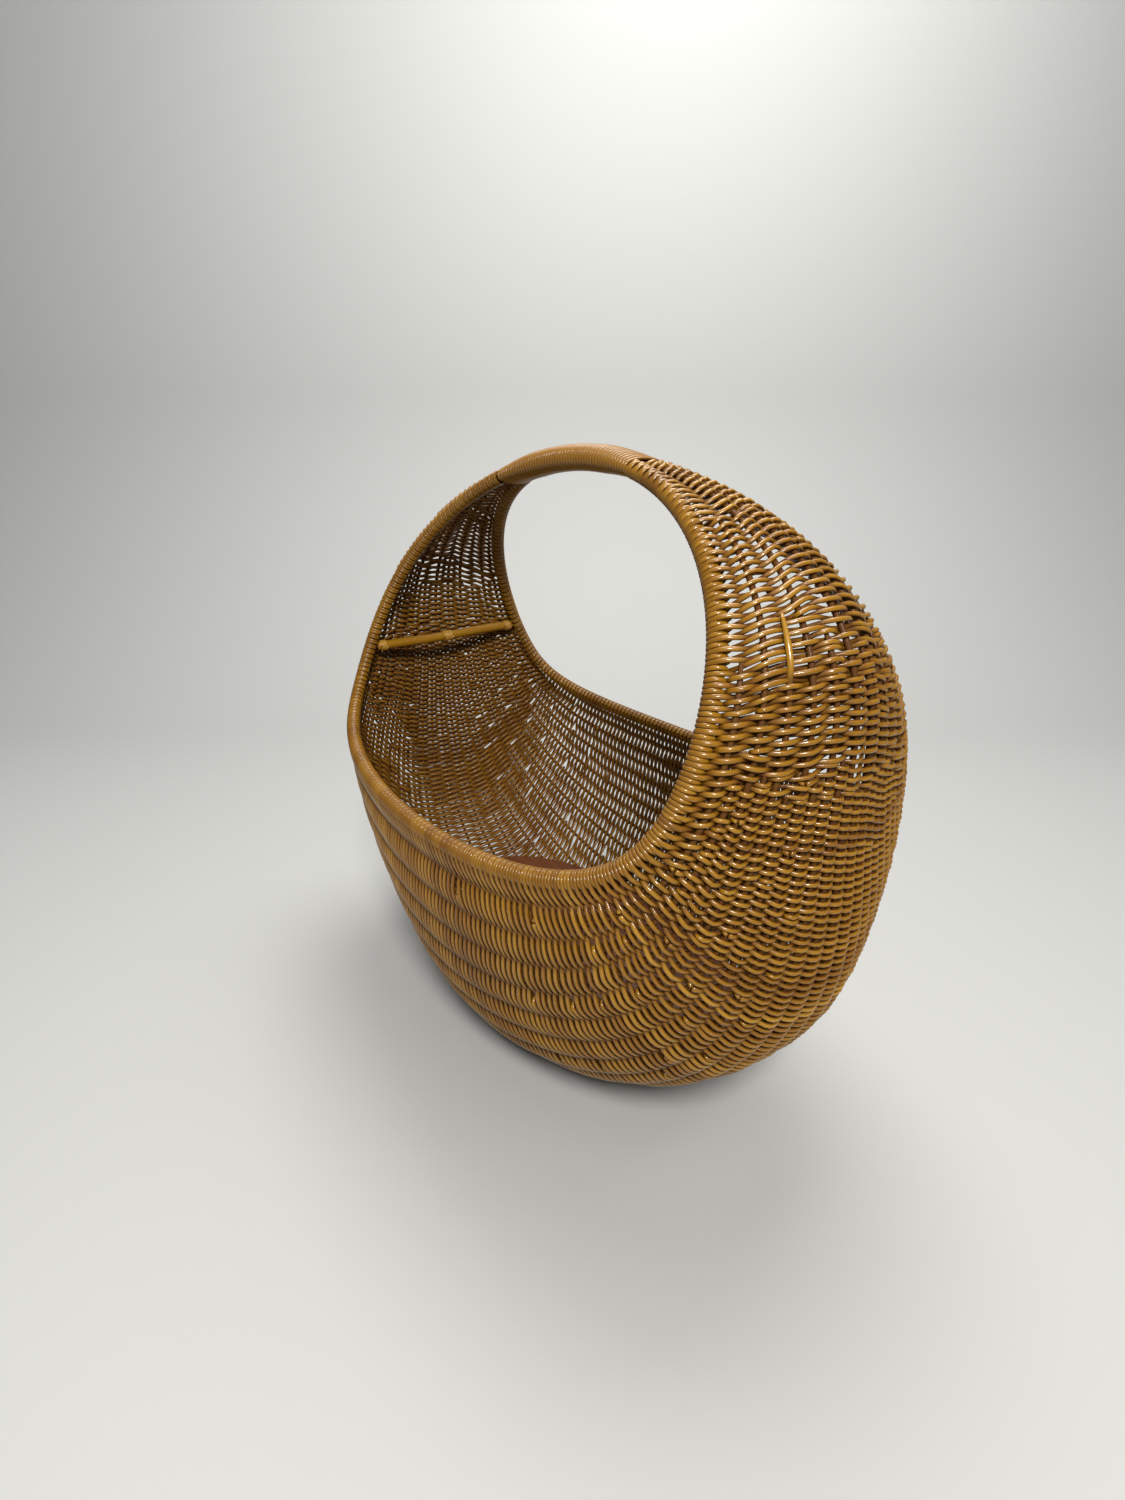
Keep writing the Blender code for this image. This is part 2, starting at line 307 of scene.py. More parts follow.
def keel_line(t):
    t = np.asarray(t, float)
    turned = t + sum(size * np.sin(n * t) for n, size in enumerate(KEEL_TURN, 1))
    top = sum(RIM_Z)
    middle = (top + KEEL_LOW) / 2 - KEEL_Z[0]
    height = (top - KEEL_LOW) / 2 - KEEL_Z[1]
    x = KEEL_X[0] * np.sin(turned) + KEEL_X[1] * np.sin(3 * turned)
    z = middle + height * np.cos(turned) + KEEL_Z[0] * np.cos(2 * turned) + KEEL_Z[1] * np.cos(3 * turned)
    return row_of(x, 0.0, z)


def cross_line(t):
    """The basket's skin across its length at t: points from the front rim to the back one, and
    how far along the skin each lies."""
    turn = np.linspace(0, pi, SKIN_SAMPLES)
    rim = rim_line(t, 1)
    keel = keel_line(t)
    swell = 1 + blended(SIDE_SWELL, t) * np.sin(turn) ** 2
    side = -np.sign(np.cos(turn)) * np.abs(np.cos(turn)) ** blended(SIDE_POWER, t) * swell
    drop = np.abs(np.sin(turn)) ** blended(DROP_POWER, t)
    x = rim[0] + (keel[0] - rim[0]) * drop
    z = rim[2] + (keel[2] - rim[2]) * drop
    points = row_of(x, rim[1] * side, z)
    return points, distances(points)


sheet_angles = np.linspace(radians(12), tau - radians(12), 1405)
sheet_places = np.linspace(0, 1, 241)
held = [cross_line(t) for t in sheet_angles]
sheet_length = np.array([run[-1] for _, run in held])
sheet = np.array([
    np.stack([np.interp(sheet_places * run[-1], run, points[:, n]) for n in range(3)], axis=-1)
    for points, run in held
])
sheet_facing = unit(np.cross(np.gradient(sheet, axis=0), np.gradient(sheet, axis=1)))


def woven_width(t):
    return np.interp(t, sheet_angles, sheet_length) - 2 * EDGE_CLEARANCE


def skin(t, share):
    """Points of the skin that holds the ribs, and where it faces at each, outward. share is 0
    where the weaving leaves the front rim and 1 where it meets the back one."""
    t, share = np.broadcast_arrays(np.asarray(t, float), np.asarray(share, float))
    width = woven_width(t)
    place = np.clip((EDGE_CLEARANCE + share * width) / (width + 2 * EDGE_CLEARANCE), 0, 1)
    down = (t - sheet_angles[0]) / (sheet_angles[1] - sheet_angles[0])
    down = np.clip(down, 0, len(sheet_angles) - 1.001)
    over = np.clip(place * (len(sheet_places) - 1), 0, len(sheet_places) - 1.001)
    i = down.astype(int)
    j = over.astype(int)
    u = (down - i)[..., None]
    v = (over - j)[..., None]

    def read(table):
        near = table[i, j] * (1 - v) + table[i, j + 1] * v
        far = table[i + 1, j] * (1 - v) + table[i + 1, j + 1] * v
        return near * (1 - u) + far * u

    return read(sheet), unit(read(sheet_facing))


def rib_level(index):
    """0 for the keel rib, then 1 to 4 for those pushed in later."""
    if index == 0:
        return 0
    if index % 4 == 0:
        return abs(index) // 4
    return 3 if index % 2 == 0 else 4


RIB_STARTS = (radians(16), radians(18), radians(36), radians(59), radians(84))
RIB_APART = (0.0, 0.5, 1.5, 2.5, 3.0)
RIB_TAIL = radians(1.2)
RIB_TAPER = 0.05
BARE_LIFT = 0.0047
BARE_RISE = radians(3.5)
CANE_UNDER_RIB = 0.0022
LAID_OUTSIDE = {("right", -6): radians(10), ("left", 6): radians(8), ("left", -2): radians(5)}


def rib_start(index, end):
    """The angle from the handle where a rib is pushed in, each a little apart from its like."""
    late = (index * 5 // 2 + (1 if end == "left" else 0)) % 3 - 1
    level = rib_level(index)
    return RIB_STARTS[level] + radians(RIB_APART[level]) * late


def woven_in(index, end):
    """Where the weaving first goes round a rib. A few lie bare on the outside before that."""
    return rib_start(index, end) + LAID_OUTSIDE.get((end, index), 0)


rib_finish = cane_finish(
    "rib rod",
    dark=(0.13, 0.05, 0.002),
    middle=(0.23, 0.105, 0.005),
    light=(0.36, 0.19, 0.018),
    deep=(0.06, 0.018, 0.0006),
)

for index in range(-10, 11):
    first = rib_start(index, "right") - RIB_TAIL
    last = tau - rib_start(index, "left") + RIB_TAIL
    angles = np.linspace(first, last, 220)
    share = 0.5 + index / RIB_SHARES
    line, facing = skin(angles, share)
    run = distances(line)
    from_end = np.minimum(run, run[-1] - run)
    radius = RIB_RADIUS * np.clip(0.5 + from_end / RIB_TAPER, 0.5, 1.0)
    height = np.zeros(len(angles))
    for end, place in (("right", angles), ("left", tau - angles)):
        bare = LAID_OUTSIDE.get((end, index), 0)
        if bare:
            rise = np.clip((rib_start(index, end) + bare - place) / BARE_RISE, 0, 1)
            height += BARE_LIFT * rise * (3 - 2 * rise) * rise
    line = line + facing * height[:, None]
    line[:, 2] = np.maximum(line[:, 2], radius + CANE_UNDER_RIB)
    # Painted shade on the ribs where the weaving covers them, cleared where a rib lies bare outside.
    painted_rib_shade = 0.9 - np.clip(height / 0.004, 0, 1) * 0.9
    rod = Bundle(10)
    tone = (index * 29 % 17) / 17
    rod.add(line, facing, radius, radius, tone, lambda ring: painted_rib_shade[:, None] + 0 * ring)
    side = "front" if index < 0 else "back"
    name = "keel_rib" if index == 0 else "rib_{}_{:02d}".format(side, abs(index))
    rib = rod.piece(name.replace("rib", "rod"), rib_finish)
    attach(rib, "root")
    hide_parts(name)


# ---- The weaving -------------------------------------------------------------------------------
# Long lengths of round cane woven over one rib and under the next, and one and a half times round
# the pole at a rim. Where the belly is longer than the rims, short rows turn back at a rib. Canes
# are made wider on the ribs and where rows lie far apart, which closes the weave.

ROD_RADIUS = 0.00215
TURN_THICKNESS = 0.0038
SPREAD_ON_RIBS = 0.36
EDGE_PITCH = (
    (16, 6.6), (30, 6.0), (38, 5.45), (50, 5.05), (60, 5.2), (75, 5.0), (90, 4.8), (102, 4.7),
    (110, 4.5), (116, 4.25), (125, 4.05), (135, 4.1), (146, 4.4), (160, 4.6), (180, 4.6),
)
MIDDLE_PITCH = (
    (16, 6.6), (30, 6.0), (38, 5.45), (50, 5.05), (60, 4.95), (70, 4.6), (81, 4.4), (93, 4.3),
    (105, 4.25), (115, 4.2), (122, 4.4), (130, 4.7), (140, 4.9), (165, 4.9), (180, 4.9),
)
WIDEST_CANE = ((35, 2.35), (45, 2.2), (70, 2.3), (85, 2.65))
FIRST_ROW = 16.4
FINE_STEP = 0.2
RIM_LIFT = POLE_RADIUS + TURN_THICKNESS / 2
REST_ON_RIB = 0.85
ROW_STEP = 0.0062
WANDER_REACH = 0.15
WANDER_STIFFNESS = 9
FRONT_SCATTER = 5
BACK_SCATTER = 90
TUCK_DEPTH = 0.0036
LENGTH_OFFSET = 0.7

weave_finish = cane_finish(
    "weaving cane",
    dark=(0.105, 0.036, 0.0006),
    middle=(0.215, 0.096, 0.0025),
    light=(0.41, 0.22, 0.018),
    deep=(0.070, 0.020, 0.0003),
)
chance = np.random.default_rng(11)
rib_places = np.arange(-11, 12)
rib_shares = 0.5 + rib_places / RIB_SHARES

fine = np.arange(FIRST_ROW, 360 - FIRST_ROW + 0.01, FINE_STEP)
place = np.minimum(fine, 360 - fine)
spots, _ = skin(np.radians(fine)[:, None], rib_shares[None, :])
speed = np.linalg.norm(np.gradient(spots, axis=0), axis=-1) / FINE_STEP * 1000
edge = np.interp(place, *np.array(EDGE_PITCH).T)[:, None]
middle = np.interp(place, *np.array(MIDDLE_PITCH).T)[:, None]
pitch = edge + (middle - edge) * np.clip((11 - np.abs(rib_places)) / 5, 0, 1)
crowd = speed / pitch
reaching = np.minimum(crowd / crowd[:, 11:12], 1)
rate = crowd.max(axis=1)
widest = np.interp(place, *np.array(WIDEST_CANE).T)[:, None]
half_room = np.clip(speed / (rate[:, None] * reaching) / 2 - 0.03, 1.9, widest) / 1000


def passed(rates):
    """The number of rows up to each fine angle."""
    return np.concatenate([[0.0], np.cumsum((rates[1:] + rates[:-1]) / 2 * np.diff(fine))])


total = passed(rate)
ROWS = int(total[-1])
nominal = np.interp((np.arange(ROWS) + 0.5) / ROWS * total[-1], total, fine)
end_of = ["right" if angle < 180 else "left" for angle in nominal]
from_handle = np.radians(np.minimum(nominal, 360 - nominal))


def halved(number):
    """Evenly scattered shares: 0, 1/2, 1/4, 3/4, 1/8 and on."""
    share, size = 0.0, 0.5
    while number:
        share += size * (number & 1)
        number >>= 1
        size /= 2
    return share


def ribs_at(number):
    """The ribs that a row passes, by number, and the two rims as -11 and 11."""
    inside = [n for n in range(-10, 11) if woven_in(n, end_of[number]) < from_handle[number]]
    return [-11] + inside + [11]


def turning_place(number, side, wanted):
    """Where a row turns: the rim, or the last rib that has room for it, but never nearer the
    keel than rib 3, or rib 4 where rib 3 has not begun."""
    met = [n * side for n in ribs_at(number) if n * side >= 0]
    share = [np.interp(nominal[number], fine, reaching[:, 11 + n * side]) for n in sorted(met)]
    fits = [n for n, room in zip(sorted(met), share) if room >= wanted]
    nearest = 3 if 3 in met else 4 if 4 in met else 11
    return max(fits + [nearest]) * side


turn_at = np.zeros((ROWS, 2), int)
for number in range(ROWS):
    front_pair = number - number % 2
    back_pair = number - (number + 1) % 2 if number else 0
    turn_at[number, 0] = turning_place(front_pair, -1, halved(number // 2 + FRONT_SCATTER))
    turn_at[number, 1] = turning_place(back_pair, 1, halved((number + 1) // 2 + BACK_SCATTER))

weight = np.ones((ROWS, 23))
for side, column in ((-1, 0), (1, 1)):
    beyond = rib_places[None, :] * side - turn_at[:, column:column + 1] * side
    weight *= np.interp(beyond, (-1, 0, 1), (1, 0.7, 0))
weight[:, 0] = turn_at[:, 0] == -11
weight[:, 22] = turn_at[:, 1] == 11
row_place = np.zeros((ROWS, 23))
for column in range(23):
    counted = np.cumsum(weight[:, column]) - weight[:, column] / 2
    density = passed(rate * reaching[:, column])
    row_place[:, column] = np.interp(counted / weight[:, column].sum() * density[-1], density, fine)
smoothed = row_place.copy()
smoothed[:, 1:-1] = row_place[:, :-2] * 0.25 + row_place[:, 1:-1] * 0.5 + row_place[:, 2:] * 0.25
row_place = np.radians(smoothed)


def wander(count, reach, stiffness):
    """A smooth random line of that many values, within about plus or minus reach."""
    knots = max(int(count / stiffness) + 2, 3)
    raw = chance.normal(0, reach * 0.6, knots)
    return np.interp(np.linspace(0, knots - 1, count), np.arange(knots), np.clip(raw, -reach, reach))


def one_row(number, radius):
    """One row from its front turn to its back one: its points, where they face, half thickness
    and height above the skin."""
    met = ribs_at(number)
    side = 1 if number % 2 == 0 else -1
    low, high = turn_at[number]
    stops = []
    lifts = []
    for order, n in enumerate(met):
        if low <= n <= high:
            angle = row_place[number, n + 11]
            rim_share = EDGE_CLEARANCE / woven_width(angle)
            stops.append({-11: -rim_share, 11: 1 + rim_share}.get(n, 0.5 + n / RIB_SHARES))
            lift = RIM_LIFT if abs(n) == 11 else RIB_RADIUS + radius * REST_ON_RIB
            lifts.append(side * (-1) ** order * lift)
    width = woven_width(np.radians(nominal[number]))
    shares = []
    height = []
    for n in range(len(stops) - 1):
        gap = stops[n + 1] - stops[n]
        pieces = int(np.clip(np.ceil(gap * width / ROW_STEP), 4, 7))
        part = np.arange(pieces) / pieces
        shares.append(stops[n] + gap * part)
        swing = (lifts[n] - lifts[n + 1]) / 2 * np.cos(pi * part)
        height.append((lifts[n] + lifts[n + 1]) / 2 + swing)
    shares = np.concatenate(shares + [[stops[-1]]])
    height = np.concatenate(height + [[lifts[-1]]])
    near = np.full(len(shares), 1.0)
    if low == -11:
        near = np.minimum(near, (shares - shares[0]) * width)
    if high == 11:
        near = np.minimum(near, (shares[-1] - shares) * width)
    hug = np.sqrt(np.maximum(RIM_LIFT ** 2 - near ** 2, 0))
    height = np.where(near < RIM_LIFT * 0.8, side * np.maximum(side * height, hug), height)
    angle = np.interp(shares, rib_shares, row_place[number])
    spacing = radians(1 / np.interp(nominal[number], fine, rate))
    stray = wander(len(angle), WANDER_REACH, WANDER_STIFFNESS)
    angle = angle + stray * spacing * np.clip(near / 0.03, 0, 1)
    here, facing = skin(angle, shares)
    here = here + facing * height[:, None]
    flat = np.clip((near - 0.004) / 0.012, 0, 1)
    thick = TURN_THICKNESS / 2 + (radius - TURN_THICKNESS / 2) * flat
    here[:, 2] = np.maximum(here[:, 2], thick)
    row_at = int(np.searchsorted(fine, nominal[number]))
    wide = np.interp(shares, rib_shares, half_room[row_at]) * radius / ROD_RADIUS
    wide *= 1 + SPREAD_ON_RIBS * np.minimum(np.abs(height) / (RIB_RADIUS + radius), 1) ** 2
    return here, facing, thick, wide, height


def round_rim(face, outer, inner):
    """The cane's way one and a half times round a rim pole, from the outside of row outer over
    the mouth's side to the inside of row inner."""
    column = 0 if face < 0 else 22
    t_outer = row_place[outer, column]
    t_inner = row_place[inner, column]
    spin = np.linspace(0, 3 * pi, 25)[1:-1]
    t = np.interp(spin, (0, tau, 3 * pi), (t_outer, t_inner, t_inner))
    centre = rim_line(t, face)
    ahead = unit(rim_line(t + 0.005, face) - rim_line(t - 0.005, face))
    out = unit(row_of(0.0, face, 0.0) - ahead * (face * ahead[:, 1])[:, None])
    mouth = unit(np.cross(ahead, out))
    inward = (centre - keel_line(t)) * (1, 0, 1)
    mouth *= np.sign(np.sum(mouth * inward, axis=1))[:, None]
    facing = out * np.cos(spin)[:, None] + mouth * np.sin(spin)[:, None]
    apart = np.linalg.norm(rim_line(t_inner, face) - rim_line(t_outer, face))
    wide = np.full(len(t), np.clip(apart * 0.51, ROD_RADIUS * 0.95, 0.0033))
    # These heights only feed the painted shade: the wraps stand high and get the rim's painted shade, and
    # the side facing the weaving stands lower and gets painted depth shade.
    height = 0.009 - 0.006 * np.clip(-np.sin(spin), 0, 1)
    thick = np.full(len(t), TURN_THICKNESS / 2)
    return centre + facing * RIM_LIFT, facing, thick, wide, height


def round_rib(index, outer, inner, radius):
    """A short row's turn round the rib where it goes back, from its outside to its inside."""
    spin = np.linspace(0, pi, 9)[1:-1]
    t_outer = row_place[outer, index + 11]
    t_inner = row_place[inner, index + 11]
    t = t_outer + (t_inner - t_outer) * spin / pi
    share = np.full(len(t), 0.5 + index / RIB_SHARES)
    centre, outward = skin(t, share)
    beside, _ = skin(t, share + 0.01 * np.sign(index))
    toward = unit(beside - centre)
    lift = RIB_RADIUS + radius * REST_ON_RIB
    facing = outward * np.cos(spin)[:, None] + toward * np.sin(spin)[:, None]
    here = centre + facing * lift
    here[:, 2] = np.maximum(here[:, 2], radius)
    half = np.full(len(t), radius)
    return here, facing, half, half, lift * np.cos(spin)


def piece_of(t):
    """Which of the eight groups of an end a row belongs to, 0 at the handle."""
    return max(int(np.searchsorted(GROUP_EDGES, t, "right")) - 1, 0)


def depth_shade(height, thick):
    """How much painted shade each point of a rod gets: deep between the weaving's two faces, at
    the sides where two rods touch, over the weaving's inside face, and on the cane at the rims."""
    def shade(ring):
        # Painted shade deep in the weave, near the middle between its two faces.
        sunk = 1 - np.clip((np.abs(height[:, None] + ring) - 0.0006) / 0.0036, 0, 1)
        # Painted shade at a rod's sides, where it touches its neighbours.
        seam = 1 - np.clip(np.abs(ring) / (0.62 * thick[:, None]), 0, 1)
        # Painted shade over the whole inside face of the weaving, which is made darker.
        inner = 0.55 * np.clip(-(height[:, None] + ring) / 0.004, 0, 1)
        # Painted shade on the cane wrapped round and lying against the rims.
        on_rim = 0.34 * np.clip((height[:, None] - 0.0062) / 0.002, 0, 1)
        return np.maximum(np.maximum(sunk, seam * 0.85), np.maximum(inner, on_rim))

    return shade


def lay(bundle, here, facing, thick, wide, height, tone, number):
    """Adds a stretch of woven cane to its group, shaded for its depth."""
    shade = depth_shade(height, thick)
    bundle.add(here, facing, thick, wide, tone, shade, start=number * LENGTH_OFFSET)


sampled = np.linspace(WEAVE_START, pi, 401)
walked = (distances(rim_line(sampled, 1)) + distances(keel_line(sampled))) / 2
GROUP_EDGES = np.interp(np.arange(8) / 8 * walked[-1], walked, sampled)

bundles = {}
tone = 0.5
radius = ROD_RADIUS
rows_left = 0
for number in range(ROWS):
    group = (end_of[number], piece_of(from_handle[number]))
    bundle = bundles.setdefault(group, Bundle(8))
    fresh = rows_left == 0
    if fresh:
        rows_left = int(chance.integers(3, 6))
        next_tone = float(np.clip(chance.normal(0.5, 0.13), 0, 1))
        next_radius = ROD_RADIUS * (1 + float(np.clip(chance.normal(0, 0.05), -0.1, 0.1)))
    else:
        next_tone, next_radius = tone, radius
    rows_left -= 1
    row = one_row(number, next_radius)
    if number % 2 == 0:
        row = tuple(part[::-1] for part in row)
        face, outer, inner = -1, number, number + 1
    else:
        face, outer, inner = 1, number + 1, number
    if number + 1 < ROWS:
        place = turn_at[number, 0 if face < 0 else 1]
        if abs(place) == 11:
            turned = round_rim(face, outer, inner)
            backward = face > 0
        else:
            order = ribs_at(number).index(place)
            first_outside = (1 if number % 2 == 0 else -1) * (-1) ** order > 0
            outer, inner = (number, number + 1) if first_outside else (number + 1, number)
            turned = round_rib(place, outer, inner, next_radius)
            backward = not first_outside
        if backward:
            turned = tuple(part[::-1] for part in turned)
        row = tuple(np.concatenate([a, b]) for a, b in zip(row, turned))
    here, facing, thick, wide, height = row
    wide = np.convolve(np.pad(wide, 2, "edge"), np.ones(5) / 5, "valid")
    if fresh and number:
        inside = np.where(height[8:-40] < -RIB_RADIUS)[0] + 8
        cut = int(inside[chance.integers(0, len(inside))]) if len(inside) else 8
        old = slice(None, cut + 3)
        lay(bundle, here[old], facing[old], thick[old], wide[old], height[old], tone, number)
        new = slice(cut - 2, None)
        tuck = -TUCK_DEPTH * np.clip(1 - np.arange(len(here) - cut + 2) / 6, 0, 1)
        tucked = here[new] + facing[new] * tuck[:, None]
        lay(bundle, tucked, facing[new], thick[new], wide[new], height[new] + tuck, next_tone, number)
    else:
        lay(bundle, here, facing, thick, wide, height, next_tone, number)
    tone, radius = next_tone, next_radius

for (end, group), bundle in sorted(bundles.items()):
    made = bundle.piece("weaving_{}_{:02d}".format(end, group + 1), weave_finish)
    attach(made, "root")
    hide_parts("weave_{}_{:02d}".format(end, group + 1))


# ---- The handle's wrapping ---------------------------------------------------------------------
# Cane lapped tightly round both hoops together where they meet at the top, turn against turn, so
# that they make one thick grip.

GRIP_END = radians(16.3)
GRIP_HEIGHT = 0.0160
LAP_STEPS = 22
LAPS_OF_ONE_TONE = 6
LAP_PITCH = 0.0060
LAP_THICKNESS = 0.0044

lap_finish = cane_finish(
    "handle cane",
    dark=(0.13, 0.050, 0.002),
    middle=(0.25, 0.115, 0.008),
    light=(0.40, 0.21, 0.03),
    deep=(0.07, 0.022, 0.0005),
)

lap_line = np.linspace(-GRIP_END, GRIP_END, 2001)
lap_run = distances(rim_line(lap_line, 1) * (1, 0, 1))
laps = int(lap_run[-1] / LAP_PITCH)
spin = np.linspace(0, laps * tau, laps * LAP_STEPS + 1)
t = np.interp(spin / tau / laps, lap_run / lap_run[-1], lap_line)
rim = rim_line(t, 1)
ahead = unit((rim_line(t + 0.01, 1) - rim_line(t - 0.01, 1)) * (1, 0, 1))
up = unit(np.cross(ahead, row_of(0.0, 1.0, 0.0)))
up *= np.sign(up[:, 2])[:, None]
from_top = np.degrees(np.abs(t))
half_high = np.interp(from_top, (9, 16.3), (GRIP_HEIGHT - LAP_THICKNESS / 2, 0.0100))
half_wide = rim[:, 1] + np.interp(from_top, (9, 16.3), (GRIP_POLE_RADIUS + 0.002, 0.0090))
across = np.sign(np.cos(spin)) * np.abs(np.cos(spin)) ** 0.85 * half_wide
rise = np.sign(np.sin(spin)) * np.abs(np.sin(spin)) ** 0.92 * half_high
crosswise = row_of(0.0, 1.0, 0.0)
centre = rim * (1, 0, 1) + crosswise * across[:, None] + up * rise[:, None]
facing = crosswise * (np.cos(spin) / half_wide)[:, None] + up * (np.sin(spin) / half_high)[:, None]


def lap_painted_shade(ring):
    """Full painted shade on the laps' sides, where two laps touch, and on their undersides, and a quarter
    of it on their outer faces.
    """
    return 0.25 + 0.75 * (1 - np.clip(ring / (0.34 * LAP_THICKNESS), 0, 1))


grip = Bundle(8)
for lap in range(0, laps, LAPS_OF_ONE_TONE):
    low = lap * LAP_STEPS
    high = min((lap + LAPS_OF_ONE_TONE) * LAP_STEPS + 1, len(t))
    tone = float(np.clip(chance.normal(0.5, 0.06), 0, 1))
    grip.add(centre[low:high], facing[low:high], LAP_THICKNESS / 2, LAP_PITCH * 0.485, tone, lap_painted_shade)
handle = grip.piece("handle_lapping", lap_finish)
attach(handle, "root")
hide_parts("handle_wrapping")


# ---- The cross bars ----------------------------------------------------------------------------
# A straight piece of whole cane between the rims inside each end, which keeps them apart. Each end
# is bound near its rim and the middle is lashed, all with turns of thin cane round the bar.

BAR_ANGLES = (radians(87), radians(82))
BAR_RADIUS = 0.0078
BAR_END_CLEARANCE = 0.0135
TIE_RADIUS = 0.0011
LASHING_LENGTH = 0.016
TIE_LENGTH = 0.011
TIE_INSET = 0.010
BAR_BOW = 0.0008

bar_finish = cane_finish(
    "whole cane bar",
    dark=(0.13, 0.052, 0.001),
    middle=(0.21, 0.095, 0.003),
    light=(0.32, 0.165, 0.012),
    deep=(0.05, 0.015, 0.0005),
    gloss=0.24,
    coat=0.5,
)
tie_finish = cane_finish(
    "binding cane",
    dark=(0.16, 0.065, 0.006),
    middle=(0.30, 0.15, 0.02),
    light=(0.50, 0.29, 0.06),
    deep=(0.04, 0.012, 0.001),
)

for end, way in (("right", 1), ("left", -1)):
    front = rim_line(way * BAR_ANGLES[0], -1)
    back = rim_line(way * BAR_ANGLES[1], 1)
    middle = (front + back) / 2
    ahead = unit(back - front)
    over = unit(np.cross(ahead, (1.0, 0.0, 0.0)) * -1)
    aside = np.cross(ahead, over)
    half = np.linalg.norm(back - front) / 2 - BAR_END_CLEARANCE
    reach = np.linspace(-half, half, 61)

    def on_bar(place):
        """The bar's centre line, which is bowed a little."""
        bow = BAR_BOW * np.sin(place / half * 4.1 + way)
        return middle + ahead * place[:, None] + over * bow[:, None]

    knot = 0.05 * np.exp(-((reach - half * 0.35) / 0.006) ** 2)
    radius = BAR_RADIUS * (1 + knot + 0.02 * reach / half)
    radius[[0, -1]] *= 0.9
    bar = Bundle(20)
    bar.add(on_bar(reach), np.tile(over, (len(reach), 1)), radius, radius, 0.55)
    made = bar.piece("bar_" + end, bar_finish)
    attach(made, "root")
    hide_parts("cross_bar_" + end)

    def binding(place, length, name, node):
        turns = int(round(length / (TIE_RADIUS * 2.05)))
        spin = np.linspace(0, turns * tau, turns * 14 + 1)
        facing = aside * np.cos(spin)[:, None] + over * np.sin(spin)[:, None]
        line = on_bar(place + (spin / spin[-1] - 0.5) * length)
        line = line + facing * (BAR_RADIUS + TIE_RADIUS * 0.8)
        tied = Bundle(8)
        tied.add(line, facing, TIE_RADIUS * 0.8, TIE_RADIUS * 1.1, 0.6)
        made = tied.piece(name, tie_finish)
        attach(made, "root")
        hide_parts(node)

    binding(0.0, LASHING_LENGTH, "bar_lashing_" + end, "cross_bar_lashing_" + end)
    for face, side in (("front", -1), ("back", 1)):
        word = "{}_{}".format(end, face)
        binding(side * (half - TIE_INSET), TIE_LENGTH, "bar_tie_" + word, "cross_bar_tie_" + word)


# ---- The base board ----------------------------------------------------------------------------
# A flat oval board, dark reddish brown, that lies loose in the bottom on the ribs so that
# what is carried stands level.

board_finish, shader, wire = new_finish("dark reddish board")
where = wire.node("ShaderNodeTexCoord", {}, {}, 3)
stretched = wire.node("ShaderNodeMapping", {}, {"Vector": where, "Scale": (1.0, 14.0, 6.0)})
grains = {"Vector": stretched, "Scale": 7.0, "Detail": 5.0, "Distortion": 0.6}
grain = wire.node("ShaderNodeTexNoise", {}, grains)
stops = [(0.25, (0.045, 0.010, 0.0005)), (0.55, (0.075, 0.018, 0.001)), (0.85, (0.11, 0.030, 0.002))]
into(shader, "Base Color", wire.node("ShaderNodeValToRGB", {"stops": stops}, {"Fac": grain}))
into(shader, "Roughness", 0.36 + grain * 0.16)
ridges = {"Strength": 0.15, "Distance": 0.0006, "Height": grain}
into(shader, "Normal", wire.node("ShaderNodeBump", {}, ridges))
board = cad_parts["base_board"]
board.data.materials.clear()
board.data.materials.append(board_finish)


# ---- The floor, the light and the camera -------------------------------------------------------
# A pale seamless sweep to stand the basket on, three round lamps and an even glow all round.

SWEEP_BACK = 2.6
SWEEP_RISE = 1.2
SWEEP_NEAR = -6.0
SWEEP_TOP = 7.0
SWEEP_HALF_WIDTH = 9.0
CAMERA_YAW = 1.0010
CAMERA_DOWN = 0.3212
CAMERA_PLACE = (0.850, -0.559, 0.750)

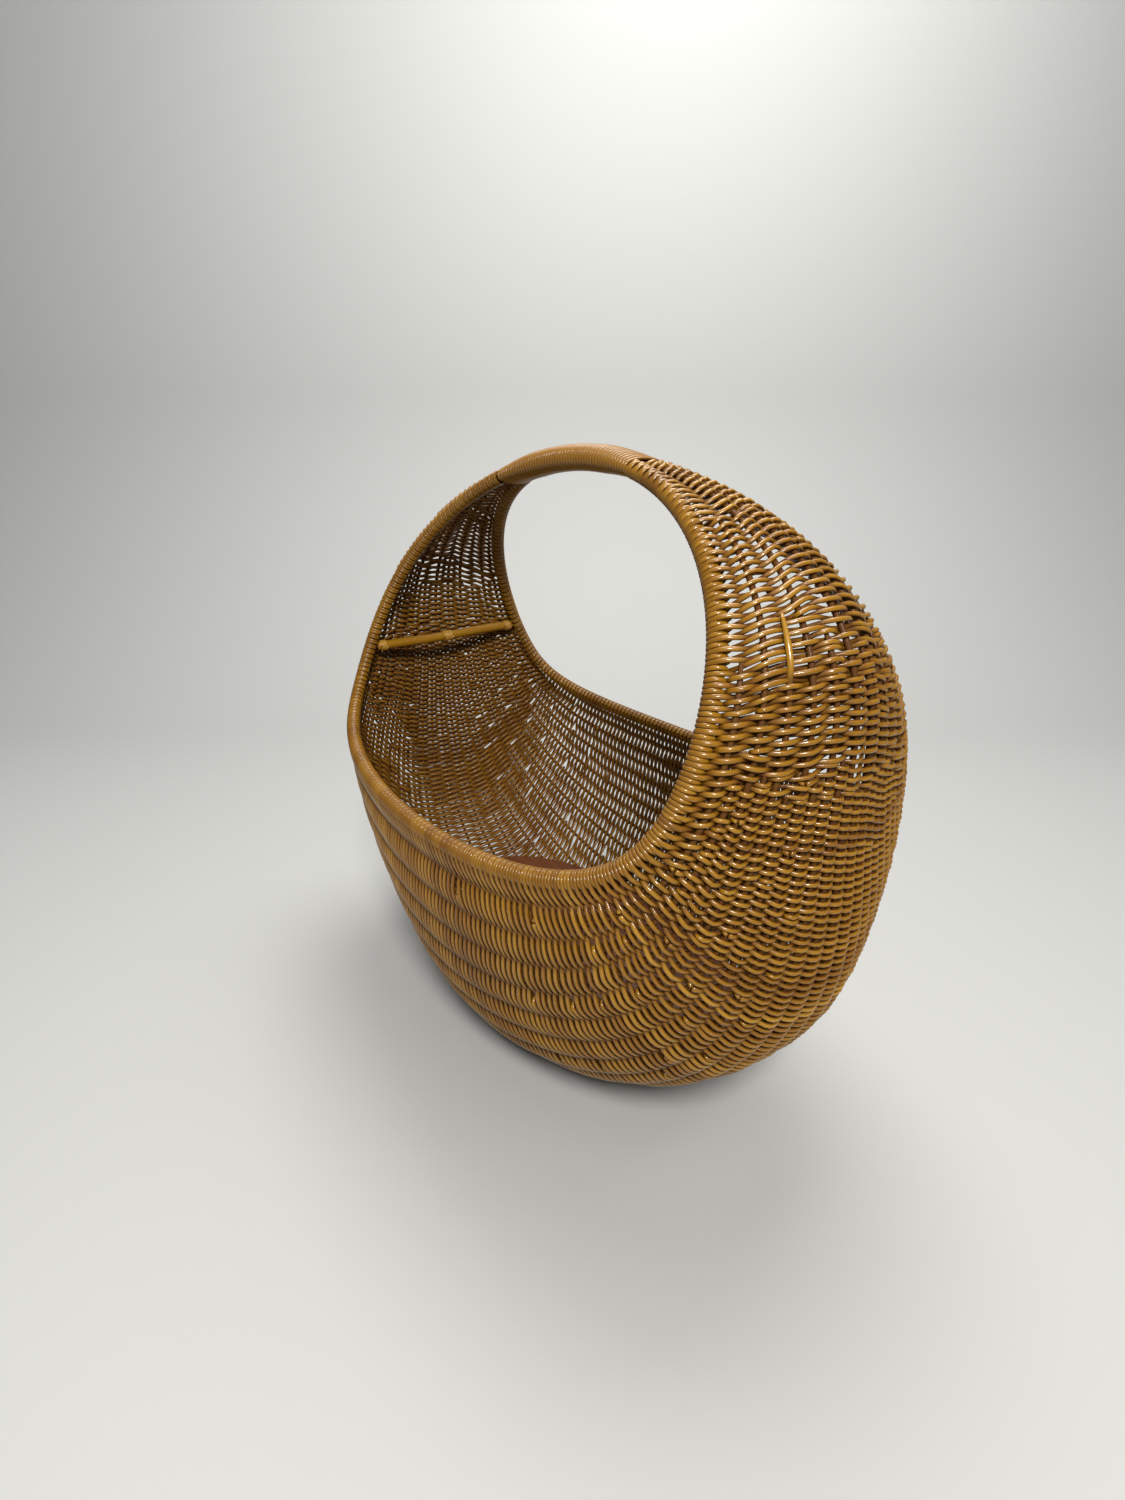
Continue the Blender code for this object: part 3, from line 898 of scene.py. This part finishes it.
outline = [(SWEEP_NEAR, 0.0), (SWEEP_BACK - SWEEP_RISE, 0.0)]
for a in np.linspace(0.1, pi / 2, 16):
    outline.append((SWEEP_BACK - SWEEP_RISE + SWEEP_RISE * sin(a), SWEEP_RISE * (1 - cos(a))))
outline.append((SWEEP_BACK, SWEEP_TOP))
away = Vector((-sin(CAMERA_YAW), cos(CAMERA_YAW), 0))
beside = Vector((cos(CAMERA_YAW), sin(CAMERA_YAW), 0))
sweep = bmesh.new()
edges = []
for side in (-SWEEP_HALF_WIDTH, SWEEP_HALF_WIDTH):
    points = [away * reach + beside * side + Vector((0, 0, rise)) for reach, rise in outline]
    edges.append([sweep.verts.new(point) for point in points])
for n in range(len(outline) - 1):
    sweep.faces.new((edges[0][n], edges[1][n], edges[1][n + 1], edges[0][n + 1])).smooth = True
floor_mesh = bpy.data.meshes.new("floor")
sweep.to_mesh(floor_mesh)
sweep.free()
floor = bpy.data.objects.new("floor", floor_mesh)
bpy.context.scene.collection.objects.link(floor)
floor_finish, shader, _ = new_finish("pale floor")
into(shader, "Base Color", (0.39, 0.39, 0.38, 1))
into(shader, "Roughness", 0.7)
floor_mesh.materials.append(floor_finish)


def lamp(name, place, target, size, power, colour):
    light = bpy.data.lights.new(name, "AREA")
    light.shape = "DISK"
    light.size = size
    light.energy = power
    light.color = colour
    made = bpy.data.objects.new(name, light)
    made.location = place
    made.rotation_euler = (Vector(target) - Vector(place)).to_track_quat("-Z", "Y").to_euler()
    bpy.context.scene.collection.objects.link(made)


lamp("key lamp", (2.2, -1.2, 2.5), (0, 0, 0.35), 0.8, 140, (1.0, 0.98, 0.95))
lamp("top lamp", (-0.3, 0.3, 3.2), (0, 0, 0.3), 2.0, 40, (1.0, 0.99, 0.97))
lamp("wall lamp", (-0.6, 1.0, 3.6), (-2.0, 1.3, 1.6), 2.4, 105, (1.0, 1.0, 0.98))
bpy.context.scene.view_settings.view_transform = "Standard"

world = bpy.data.worlds.new("glow")
world.use_nodes = True
world.node_tree.nodes["Background"].inputs["Color"].default_value = (0.95, 0.97, 1.0, 1)
world.node_tree.nodes["Background"].inputs["Strength"].default_value = 0.25
bpy.context.scene.world = world

view = bpy.data.cameras.new("camera")
view.sensor_fit = "VERTICAL"
view.sensor_height = 36.0
view.lens = 18.09
camera = bpy.data.objects.new("camera", view)
camera.location = CAMERA_PLACE
camera.rotation_euler = (pi / 2 - CAMERA_DOWN, 0, CAMERA_YAW)
bpy.context.scene.collection.objects.link(camera)
bpy.context.scene.camera = camera
